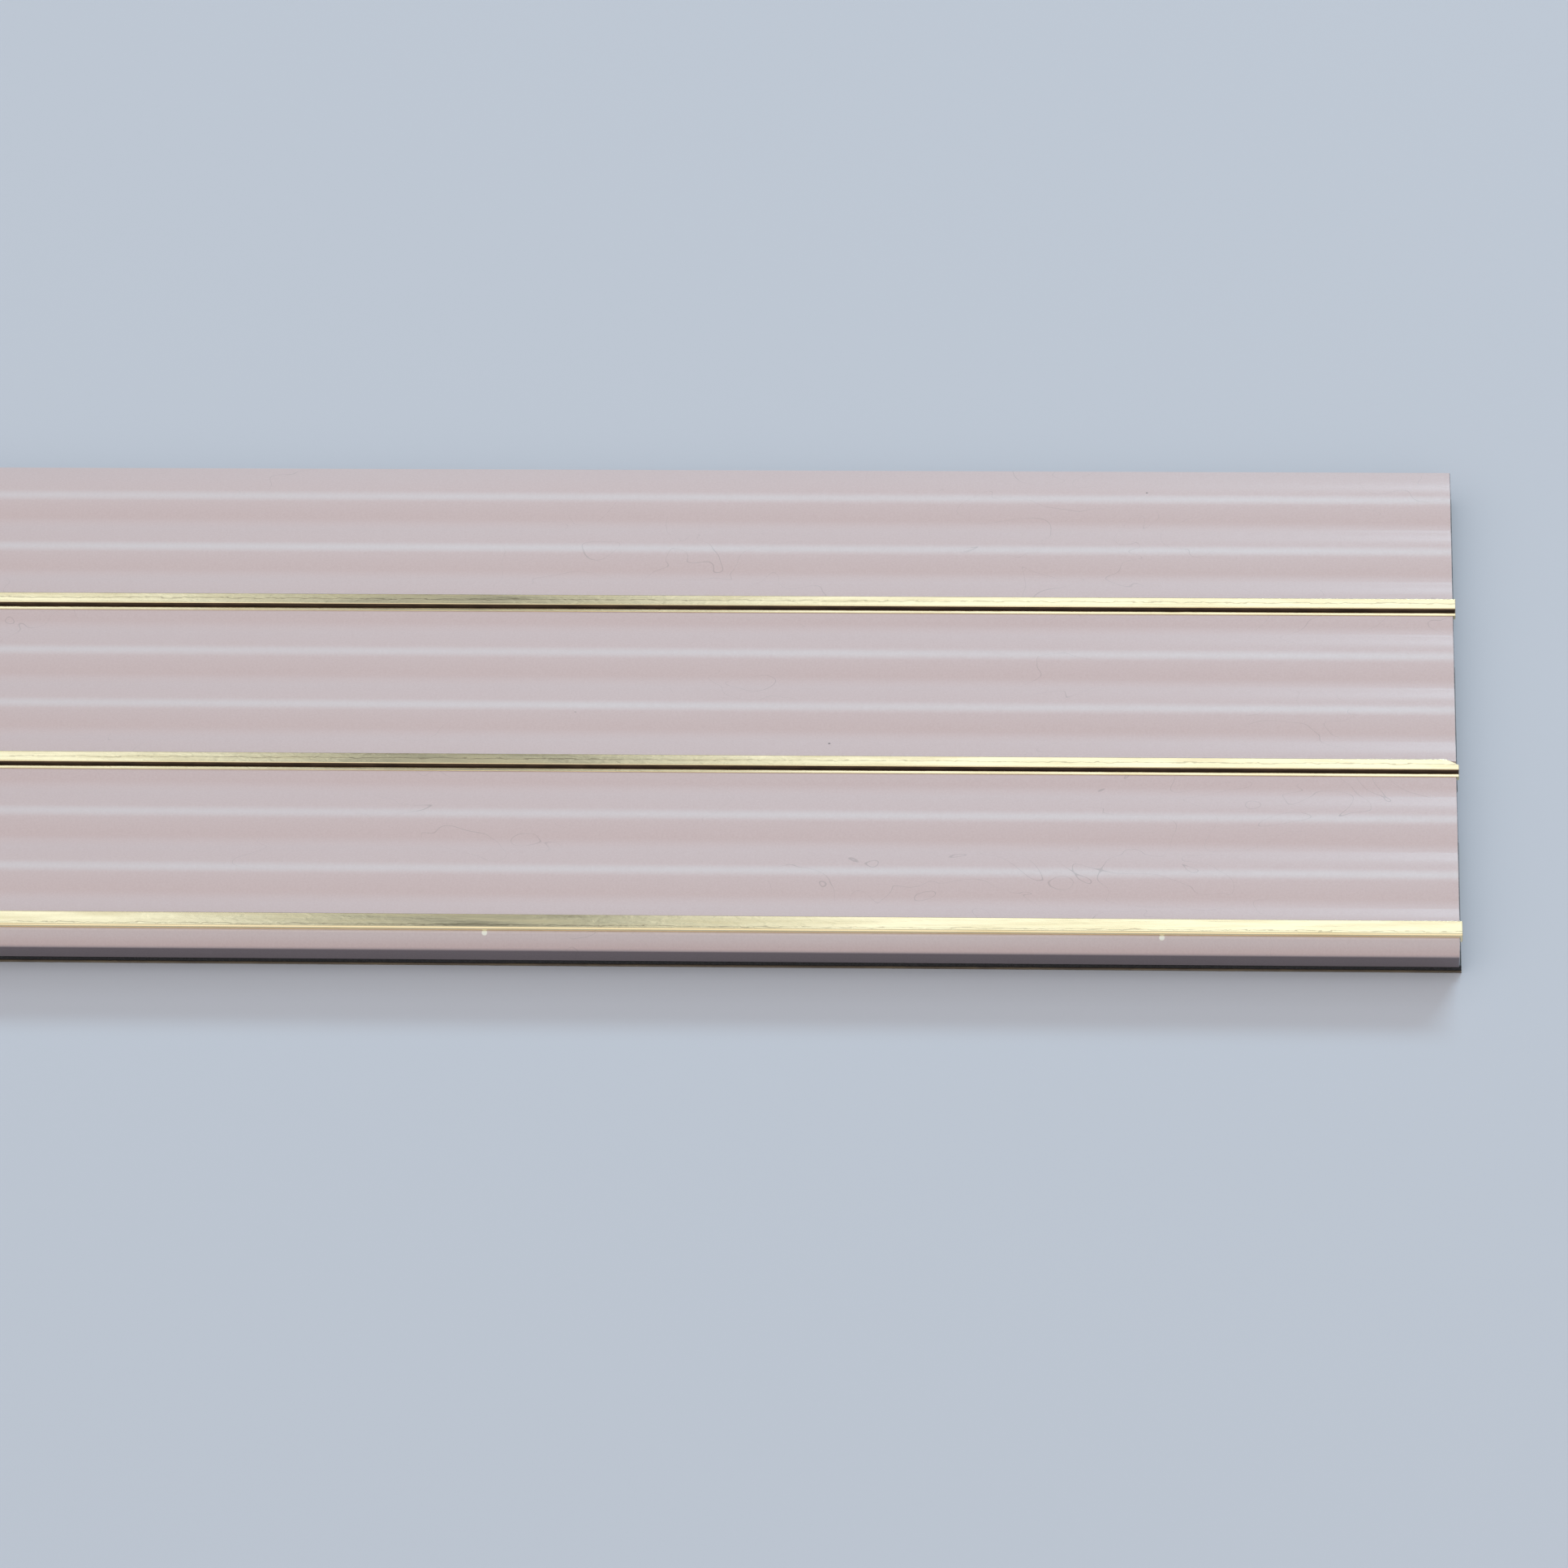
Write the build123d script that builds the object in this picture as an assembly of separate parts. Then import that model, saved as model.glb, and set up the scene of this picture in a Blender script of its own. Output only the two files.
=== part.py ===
from build123d import *
import math
import os

# Self-adhesive reeded threshold strip with three brass trims. Millimetres.
# +X runs along the strip, +Y from its front edge to its back edge, +Z up from the floor.
# The origin is on the floor, under the middle of the strip.

PLACES = ("front", "middle", "rear")

# Overall sizes
STRIP_LENGTH = 900.0
STRIP_WIDTH = 40.0
LINER_THICKNESS = 0.12
TAPE_THICKNESS = 0.40
PROFILE_HEIGHT = 2.18

# Reeds of the top face: wide convex arcs that meet in narrow concave valleys
REED_PITCH = 4.50
REED_COUNT = 9
FIRST_REED_Y = -18.92
REED_HEIGHT = 0.20
VALLEY_SHARE = 0.20

# Front lip: a face that leans back, a round nose, and a face that slopes in under it
LIP_TOP_RADIUS = 0.12
LIP_LEAN = 30.0
NOSE_RADIUS = 0.25
NOSE_HEIGHT = 1.76
UNDERCUT_LEAN = 17.0

# Back edge
BACK_TOP_RADIUS = 0.20
BACK_BOTTOM_RADIUS = 0.25

# Brass trims. Each lies in a rebate on one reed and is held by a stem with a wider foot.
TRIM_REEDS = {"front": 0, "middle": 3, "rear": 6}
HEAD_WIDTHS = {"front": 1.12, "middle": 0.84, "rear": 0.84}
HEAD_OFFSETS = {"front": 0.11, "middle": -0.20, "rear": -0.20}
BEADED_TRIMS = ("middle", "rear")
HEAD_PROUD = 0.20
HEAD_CHAMFER = 0.04
BEAD_GAP = 0.12
BEAD_WIDTH = 0.26
BEAD_DEPTH = 0.02
BEAD_CHAMFER = 0.02
GAP_FLOOR_DEPTH = 0.18
REBATE_DEPTH = 0.25
STEM_WIDTH = 0.50
STEM_DEPTH = 0.60
FOOT_WIDTH = 0.68
FOOT_HEIGHT = 0.15
TRIM_CLEARANCE = 0.03

# Foam tapes and their liners
TAPE_WIDTH = 10.0
TAPE_CENTRES = {"front": -14.6, "middle": 0.0, "rear": 14.6}

# Levels above the floor
TAPE_BOTTOM = LINER_THICKNESS
PROFILE_BOTTOM = TAPE_BOTTOM + TAPE_THICKNESS
REED_TOP = PROFILE_BOTTOM + PROFILE_HEIGHT
REBATE_FLOOR = REED_TOP - REBATE_DEPTH
STEM_BOTTOM = REED_TOP - STEM_DEPTH
HEAD_TOP = REED_TOP + HEAD_PROUD

FRONT_EDGE = -STRIP_WIDTH / 2
BACK_EDGE = STRIP_WIDTH / 2


def reed_y(index):
    """Centre line of one reed, counted from the front."""
    return FIRST_REED_Y + index * REED_PITCH


def head_span(place):
    """Front and rear edge of a trim's head."""
    centre = reed_y(TRIM_REEDS[place]) + HEAD_OFFSETS[place]
    return centre - HEAD_WIDTHS[place] / 2, centre + HEAD_WIDTHS[place] / 2


def trim_front(place):
    """Front edge of a whole trim, with its bead where it has one."""
    front = head_span(place)[0]
    return front - BEAD_GAP - BEAD_WIDTH if place in BEADED_TRIMS else front


def stem_centre(place):
    """Middle of the stem, which is set towards the bead on a trim that has one."""
    front, rear = head_span(place)
    return front + STEM_WIDTH / 2 if place in BEADED_TRIMS else (front + rear) / 2


def along_strip(section):
    """Extrude a section, drawn in the YZ plane, over the strip's whole length."""
    return extrude(section, amount=STRIP_LENGTH / 2, both=True)


def section_face(edges):
    """Closed face in the YZ plane from a ring of edges drawn in XY."""
    return Plane.YZ * make_face(edges)


def polygon_face(points):
    """Closed face in the YZ plane from the corners of a polygon."""
    return section_face(Polyline(*points, close=True))


def reed_sizes():
    """Steepest slope of the reeds in radians, half the width of a reed's arc, and its radius."""
    slope = 2 * math.atan(2 * REED_HEIGHT / REED_PITCH)
    half_valley = REED_PITCH * VALLEY_SHARE / 2
    half_reed = REED_PITCH / 2 - half_valley
    return slope, half_reed, half_reed / math.sin(slope)


def lip_edges():
    """Undercut face, nose and leaning face of the lip, from the underside up to the first reed."""
    _, _, reed_radius = reed_sizes()
    lean, under = math.radians(LIP_LEAN), math.radians(UNDERCUT_LEAN)
    nose_y = FRONT_EDGE + NOSE_RADIUS
    low_y = nose_y - NOSE_RADIUS * math.cos(under)
    low_z = NOSE_HEIGHT - NOSE_RADIUS * math.sin(under)
    high_y = nose_y - NOSE_RADIUS * math.cos(lean)
    high_z = NOSE_HEIGHT + NOSE_RADIUS * math.sin(lean)
    foot_y = low_y + (low_z - PROFILE_BOTTOM) * math.tan(under)
    # The leaning face runs up until it meets the first reed's arc.
    from_centre_y = high_y - reed_y(0)
    from_centre_z = high_z - (REED_TOP - reed_radius)
    towards = from_centre_y * math.sin(lean) + from_centre_z * math.cos(lean)
    outside = from_centre_y**2 + from_centre_z**2 - reed_radius**2
    run = math.sqrt(towards**2 - outside) - towards
    top_y = high_y + run * math.sin(lean)
    top_z = high_z + run * math.cos(lean)
    return [
        Line((foot_y, PROFILE_BOTTOM), (low_y, low_z)),
        ThreePointArc((low_y, low_z), (FRONT_EDGE, NOSE_HEIGHT), (high_y, high_z)),
        Line((high_y, high_z), (top_y, top_z)),
    ]


def reed_arcs(start_y, start_z):
    """Reed and valley arcs from the lip to the last reed's rear side."""
    slope, half_reed, reed_radius = reed_sizes()
    side_z = REED_TOP - reed_radius * (1 - math.cos(slope))
    valley_z = REED_TOP - REED_HEIGHT
    arcs = []
    for index in range(REED_COUNT):
        y = reed_y(index)
        next_y = reed_y(index + 1)
        if index > 0:
            start_y, start_z = y - half_reed, side_z
        arcs.append(ThreePointArc((start_y, start_z), (y, REED_TOP), (y + half_reed, side_z)))
        if index < REED_COUNT - 1:
            bottom = (y + REED_PITCH / 2, valley_z)
            arcs.append(ThreePointArc((y + half_reed, side_z), bottom, (next_y - half_reed, side_z)))
    return arcs


def profile_outline():
    """Ring of edges round the profile: lip, reeds, back edge and underside."""
    slope, _, _ = reed_sizes()
    lip = lip_edges()
    foot_y = (lip[0] @ 0).X
    top = reed_arcs((lip[-1] @ 1).X, (lip[-1] @ 1).Y)
    side_y, side_z = (top[-1] @ 1).X, (top[-1] @ 1).Y
    back_z = side_z - (BACK_EDGE - side_y) * math.tan(slope)
    back = [
        Line((side_y, side_z), (BACK_EDGE, back_z)),
        Line((BACK_EDGE, back_z), (BACK_EDGE, PROFILE_BOTTOM)),
        Line((BACK_EDGE, PROFILE_BOTTOM), (foot_y, PROFILE_BOTTOM)),
    ]
    return lip + top + back


def rounded_corners(section):
    """Round the lip's upper edge and both corners of the back edge."""
    lip = lip_edges()[-1] @ 1
    lip_corner = section.vertices().sort_by_distance(Vector(0, lip.X, lip.Y))[0]
    section = fillet(lip_corner, LIP_TOP_RADIUS)
    back_bottom = section.vertices().sort_by_distance(Vector(0, BACK_EDGE, PROFILE_BOTTOM))[0]
    section = fillet(back_bottom, BACK_BOTTOM_RADIUS)
    back_top = section.vertices().sort_by_distance(Vector(0, BACK_EDGE, REED_TOP))[0]
    return fillet(back_top, BACK_TOP_RADIUS)


def trim_rebate(place):
    """Rebate, slot and undercut that hold one trim."""
    front = trim_front(place) - TRIM_CLEARANCE
    rear = head_span(place)[1] + TRIM_CLEARANCE
    stem = stem_centre(place)
    half_stem = STEM_WIDTH / 2 + TRIM_CLEARANCE
    half_foot = FOOT_WIDTH / 2 + TRIM_CLEARANCE
    foot_top = STEM_BOTTOM + FOOT_HEIGHT + TRIM_CLEARANCE
    return polygon_face(
        [
            (front, HEAD_TOP),
            (front, REBATE_FLOOR),
            (stem - half_stem, REBATE_FLOOR),
            (stem - half_stem, foot_top),
            (stem - half_foot, foot_top),
            (stem - half_foot, STEM_BOTTOM),
            (stem + half_foot, STEM_BOTTOM),
            (stem + half_foot, foot_top),
            (stem + half_stem, foot_top),
            (stem + half_stem, REBATE_FLOOR),
            (rear, REBATE_FLOOR),
            (rear, HEAD_TOP),
        ]
    )


def carrier_profile():
    """Reeded aluminium profile with three trim rebates in its top and a flat underside."""
    section = rounded_corners(section_face(profile_outline()))
    for place in PLACES:
        section = section - trim_rebate(place)
    return along_strip(section)


def trim_strip(place):
    """Brass trim: a flat head, a thin flat bead in front of it on two of the three, and a footed stem."""
    front, rear = head_span(place)
    stem = stem_centre(place)
    half_stem = STEM_WIDTH / 2
    half_foot = FOOT_WIDTH / 2
    foot_top = STEM_BOTTOM + FOOT_HEIGHT
    points = [
        (trim_front(place), REBATE_FLOOR),
        (stem - half_stem, REBATE_FLOOR),
        (stem - half_stem, foot_top),
        (stem - half_foot, foot_top),
        (stem - half_foot, STEM_BOTTOM),
        (stem + half_foot, STEM_BOTTOM),
        (stem + half_foot, foot_top),
        (stem + half_stem, foot_top),
        (stem + half_stem, REBATE_FLOOR),
        (rear, REBATE_FLOOR),
        (rear, HEAD_TOP - HEAD_CHAMFER),
        (rear - HEAD_CHAMFER, HEAD_TOP),
        (front + HEAD_CHAMFER, HEAD_TOP),
        (front, HEAD_TOP - HEAD_CHAMFER),
    ]
    if place not in BEADED_TRIMS:
        return along_strip(polygon_face(points))
    bead_rear = front - BEAD_GAP
    bead_front = bead_rear - BEAD_WIDTH
    bead_top = REED_TOP - BEAD_DEPTH
    gap_floor = REED_TOP - GAP_FLOOR_DEPTH
    bead = [
        (front, gap_floor),
        (bead_rear, gap_floor),
        (bead_rear, bead_top - BEAD_CHAMFER),
        (bead_rear - BEAD_CHAMFER, bead_top),
        (bead_front + BEAD_CHAMFER, bead_top),
        (bead_front, bead_top - BEAD_CHAMFER),
    ]
    return along_strip(polygon_face([*points, *bead]))


def flat_band(place, bottom, thickness):
    """Plain flat band under the profile, as long as the strip."""
    section = Plane.YZ * Pos(TAPE_CENTRES[place], bottom + thickness / 2) * Rectangle(TAPE_WIDTH, thickness)
    return along_strip(section)


def foam_tape(place):
    """Double-sided foam tape, bonded to the underside of the profile."""
    return flat_band(place, TAPE_BOTTOM, TAPE_THICKNESS)


def release_liner(place):
    """Peel-off paper that covers the tape's lower adhesive face."""
    return flat_band(place, 0.0, LINER_THICKNESS)


def main():
    os.makedirs("parts", exist_ok=True)
    pieces = {"carrier_profile": carrier_profile()}
    for place in PLACES:
        pieces[f"{place}_trim_strip"] = trim_strip(place)
        pieces[f"{place}_foam_tape"] = foam_tape(place)
        pieces[f"{place}_release_liner"] = release_liner(place)
    for node, solid in pieces.items():
        export_step(solid, f"parts/{node}.step")


main()
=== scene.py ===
"""Reeded threshold strip with three brass trims, foam tapes and release liners.

Everything is in metres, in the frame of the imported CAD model: +X along the strip, +Y from its
front lip to its back edge, +Z up from the floor.
"""

import math

import bmesh
import bpy
from bpy.props import FloatProperty, FloatVectorProperty, IntProperty, PointerProperty
from mathutils import Matrix, Vector, geometry, noise


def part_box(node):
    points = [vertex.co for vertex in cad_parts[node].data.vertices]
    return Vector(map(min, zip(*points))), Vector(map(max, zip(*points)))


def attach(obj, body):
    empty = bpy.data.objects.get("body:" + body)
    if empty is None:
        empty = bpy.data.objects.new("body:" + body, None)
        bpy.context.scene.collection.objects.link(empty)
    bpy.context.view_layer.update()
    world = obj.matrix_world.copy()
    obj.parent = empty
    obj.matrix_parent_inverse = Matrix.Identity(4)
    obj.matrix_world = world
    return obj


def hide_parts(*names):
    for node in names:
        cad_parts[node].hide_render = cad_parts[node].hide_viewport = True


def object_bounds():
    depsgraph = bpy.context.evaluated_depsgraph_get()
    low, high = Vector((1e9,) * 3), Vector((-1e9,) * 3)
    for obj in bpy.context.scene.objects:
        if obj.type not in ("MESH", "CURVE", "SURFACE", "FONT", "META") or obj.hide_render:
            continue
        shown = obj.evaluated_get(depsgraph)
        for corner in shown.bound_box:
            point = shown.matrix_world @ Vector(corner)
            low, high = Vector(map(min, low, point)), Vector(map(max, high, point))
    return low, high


bl_info = {
    "name": "Threshold Strip",
    "version": (1, 0, 0),
    "blender": (4, 5, 0),
    "location": "View3D > Sidebar > Threshold Strip",
    "description": "Builds the finished surfaces of a reeded self-adhesive threshold strip",
    "category": "Add Mesh",
}

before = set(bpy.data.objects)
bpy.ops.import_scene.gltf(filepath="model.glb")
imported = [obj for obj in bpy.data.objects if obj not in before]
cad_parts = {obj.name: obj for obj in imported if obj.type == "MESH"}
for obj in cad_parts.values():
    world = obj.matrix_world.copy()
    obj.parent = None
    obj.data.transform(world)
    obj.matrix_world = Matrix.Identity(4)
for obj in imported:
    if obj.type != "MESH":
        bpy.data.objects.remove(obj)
CAD_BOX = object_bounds()

MM = 0.001
# Middle of the paler band on the lip's edge (rubbed wear and a painted highlight), measured back from the
# strip's front.
LIP_EDGE_PLACE = 0.51 * MM
# Painted glints of two small burrs on the lip's edge, in mm: how far from the right-hand end, and how high.
GLINTS_FROM_END = (17.1, 55.9)
GLINT_LEVEL = 2.62
BODY = "root"
PLACES = ("front", "middle", "rear")
BEADED_TRIMS = ("middle", "rear")
SMOOTH_ANGLE = math.radians(28)
# A flat face has a point this far from each rounded edge, so that smooth shading keeps it flat.
FLAT_MARGIN = 0.02 * MM

# Distance between two cross-sections of a mesh. They are closer within END_STRETCH of each end.
PROFILE_SPACING = 12 * MM
TRIM_SPACING = 6 * MM
TAPE_SPACING = 10 * MM
END_STRETCH = 1.4 * MM
# How uneven a cut end is.
PROFILE_WANDER = 0.02 * MM
TRIM_WANDER = 0.012 * MM
TAPE_WANDER = 0.06 * MM
LINER_WANDER = 0.03 * MM
# Sides, corners and cut edges of the tapes and the liners.
TAPE_BULGE = 0.05 * MM
TAPE_CORNER = 0.04 * MM
TAPE_CHAMFER = 0.03 * MM
LINER_EDGE = 0.01 * MM

CARRIER_SLOT = "champagne_anodised_aluminium"
TRIM_SLOT = "polished_brass"
TAPE_SLOT = "polyethylene_foam"
LINER_SLOT = "glassine_paper"

# Studio dome: linear light levels, and angles in degrees. Azimuth 0 is straight behind the strip.
WALL_LIGHT = (0.33, 0.33, 0.33, 1.0)
SOFTBOX_LIGHT = (1.05, 1.03, 1.02, 1.0)
SOFTBOX_TILT = 40.0
SOFTBOX_CORE = 25.0
SOFTBOX_EDGE = 80.0
STRIP_LIGHT = (1.3, 1.44, 1.6, 1.0)
STRIP_ELEVATION = 45.0
STRIP_HALF_HEIGHT = 10.0
STRIP_HALF_WIDTH = 75.0
UPRIGHT_AZIMUTH = -8.1
UPRIGHT_HALF_WIDTH = 4.2
UPRIGHT_HALF_HEIGHT = 8.0
UPRIGHT_SHADE = 0.98
HORIZON_LEVEL = 0.3
HORIZON_TOP = 24.0

# Floor, in metres. It lies a hair below the liners, so that the two faces don't coincide.
FLOOR_HALF = 3.0
FLOOR_DROP = 0.02 * MM

# Low window behind the strip: metres, watts and degrees.
WINDOW_WIDTH = 0.9
WINDOW_HEIGHT = 0.26
WINDOW_DISTANCE = 2.0
WINDOW_POWER = 19.0
WINDOW_COLOUR = (0.61, 0.86, 1.0)
WINDOW_ELEVATION = 29.0
WINDOW_AZIMUTH = 18.0

# Camera: degrees, metres, and the lens and its sensor in millimetres.
CAMERA_ELEVATION = 45.0
CAMERA_TURN = 4.77
CAMERA_ROLL = -3.02
CAMERA_DISTANCE = 0.4499
CAMERA_FROM_END = 39.25 * MM
CAMERA_ACROSS = -7.38 * MM
CAMERA_LENS = 177.15
CAMERA_SENSOR = 36.0
CAMERA_CLIP = (0.01, 20.0)


def linear(hex_colour):
    """Linear red, green and blue of an sRGB hex colour."""
    channels = [int(hex_colour[i : i + 2], 16) / 255 for i in (0, 2, 4)]
    return tuple(c / 12.92 if c <= 0.04045 else ((c + 0.055) / 1.055) ** 2.4 for c in channels)


def size(name, description, millimetres):
    """Length property with a default in millimetres."""
    return FloatProperty(
        name=name, description=description, default=millimetres * MM, min=0.0, unit="LENGTH", precision=5
    )


def angle(name, description, degrees):
    """Angle property with a default in degrees."""
    return FloatProperty(
        name=name, description=description, default=math.radians(degrees), min=0.0, unit="ROTATION"
    )


def colour(name, description, hex_colour):
    """Colour property with an sRGB hex default."""
    return FloatVectorProperty(
        name=name, description=description, subtype="COLOR", size=3, min=0, max=1, default=linear(hex_colour)
    )


class StripSizes(bpy.types.PropertyGroup):
    """Sizes of the section that the CAD boxes don't give."""

    reed_pitch: size("Reed pitch", "Distance from one reed's crown to the next", 4.50)
    reed_count: IntProperty(name="Reeds", description="Number of reeds across the strip", default=9, min=1)
    first_reed: size("First reed", "From the front edge to the first reed's crown", 1.08)
    reed_height: size("Reed height", "From a valley's floor to a reed's crown", 0.20)
    valley_width: size("Valley width", "Width of the concave arc between two reeds", 0.90)
    nose_radius: size("Nose radius", "Rounding of the front lip's nose", 0.25)
    nose_height: size("Nose height", "From the floor to the middle of the nose", 1.76)
    lip_lean: angle("Lip lean", "How far the lip's upper face leans back", 30.0)
    undercut_lean: angle("Undercut lean", "How far the lip's lower face slopes in", 17.0)
    lip_top_radius: size("Lip top radius", "Rounding between the top and the lip", 0.12)
    back_top_radius: size("Back radius", "Rounding of the back edge's upper corner", 0.20)
    back_bottom_radius: size("Back foot radius", "Rounding of the back edge's lower corner", 0.25)
    head_width: size("Head width", "Width of the flat head of a beaded trim", 0.84)
    head_rounding: size("Head rounding", "Rounding of the head's upper edges", 0.04)
    front_rounding: size("Front rounding", "Rounding of the front trim's front edge", 0.12)
    bead_width: size("Bead width", "Width of the thin bead in front of a head", 0.26)
    bead_drop: size("Bead drop", "How far the bead's face lies under the head's face", 0.22)
    gap_depth: size("Gap depth", "Depth of the gap between bead and head", 0.38)
    rebate_depth: size("Rebate depth", "Depth of a trim's rebate under the reed's crown", 0.25)
    stem_width: size("Stem width", "Width of the stem that holds a trim", 0.50)
    foot_width: size("Foot width", "Width of the foot at the end of the stem", 0.68)
    foot_height: size("Foot height", "Height of that foot", 0.15)
    slot_clearance: size("Slot clearance", "Room round a trim's stem and foot", 0.03)
    front_seam: size("Front seam", "Hairline between the profile and a trim's front side", 0.008)
    rear_seam: size("Rear seam", "Hairline between the profile and a trim's rear side", 0.03)
    end_setback: size("End setback", "How far the profile's sawn end stands behind the trims", 0.12)
    cut_chamfer: size("Cut chamfer", "Broken edge round the sawn ends", 0.05)
    nick_length: size("Nick length", "Length of the corner nipped off the middle trim's end", 0.80)
    nick_depth: size("Nick depth", "Depth of that nipped corner", 0.48)


class StripColours(bpy.types.PropertyGroup):
    """Colours of the finishes and of the floor."""

    anodised: colour("Anodised face", "Champagne dye of the anodised face", "DECCCA")
    # Paler crowns and lip edge: partly rubbed wear, partly a painted highlight.
    crown_wear_and_highlight: colour("Rubbed crown", "Paler, greyer dye on the reeds' rubbed crowns", "E2D7D6")
    # Painted shade below the nose's height: the lip's undercut and the back edge.
    underside_shade: colour("Underside", "Darker dye on the lip's undercut and below", "8F8589")
    sawn: colour("Sawn aluminium", "Bare metal of the cut ends", "C9C9CB")
    # Painted glint of the two small burrs on the lip's edge.
    burr_glint: colour("Chips", "Bare metal in the chips on the lip's edge", "FBFBF2")
    sawn_dark: colour("Saw lines", "Dark lines that the saw leaves in the aluminium", "8E8E91")
    dust: colour("Dust", "Specks of dust and grit on the face", "4E484A")
    brass: colour("Brass", "Polished face of the trims", "F6E6BC")
    brass_tarnish: colour("Tarnished brass", "Faint tarnish on the trims", "DCC48E")
    # Painted shade in the slot between head and bead, with darker mottling; the first colour also darkens
    # the brass saw lines and the crease line on each head.
    brass_slot: colour("Slot", "Unpolished brass between head and bead", "6A5648")
    slot_shade: colour("Slot dirt", "Dirt and scale in that slot", "111112")
    foam: colour("Foam", "Cut sides of the foam tapes", "2C2B2D")
    foam_cell: colour("Foam cells", "Shaded insides of the cells", "111112")
    adhesive: colour("Adhesive", "Tacky faces of the foam tapes", "1D1C1E")
    liner: colour("Liner", "Silicone-coated paper under the tapes", "5E5244")
    liner_light: colour("Light fibres", "Paler, thinner patches of the paper", "736550")
    floor: colour("Floor", "Plain pale floor", "C9CDD6")


# ---------------------------------------------------------------- materials

# Most of a noise texture's values lie in this range.
NOISE_RANGE = {"From Min": 0.3, "From Max": 0.7}
# From 1 inside a pattern to 0 outside it.
FALLING = {"To Min": 1.0, "To Max": 0.0}


def add_node(tree, kind, inputs=None, **settings):
    """Add one node with its settings, and set its inputs or link them from nodes and sockets."""
    made = tree.nodes.new(kind)
    for name, value in settings.items():
        setattr(made, name, value)
    for name, value in (inputs or {}).items():
        if isinstance(value, bpy.types.Node):
            value = value.outputs[0]
        if isinstance(value, bpy.types.NodeSocket):
            tree.links.new(value, made.inputs[name])
        else:
            made.inputs[name].default_value = value
    return made


def new_material(name, sizes_and_names):
    """Material with one stretched position per named grain, given as (along, across, up) in mm.

    Returns the material, its tree and the stretched positions in the same order, so that a pattern
    with a scale of 1 has grains of the given size.
    """
    material = bpy.data.materials.new(name)
    material.use_nodes = True
    tree = material.node_tree
    tree.nodes.clear()
    place = add_node(tree, "ShaderNodeTexCoord").outputs["Object"]
    grains = []
    for label, grain in sizes_and_names:
        scale = tuple(1 / (length * MM) for length in grain)
        grains.append(add_node(tree, "ShaderNodeMapping", {"Vector": place, "Scale": scale}, label=label))
    return material, tree, grains


def finish_material(tree, shader_inputs):
    """Principled shader with these inputs, wired to the output."""
    shader = add_node(tree, "ShaderNodeBsdfPrincipled", shader_inputs)
    add_node(tree, "ShaderNodeOutputMaterial", {"Surface": shader})


def opaque(rgb):
    """Colour with full alpha."""
    return (*rgb, 1.0)


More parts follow.
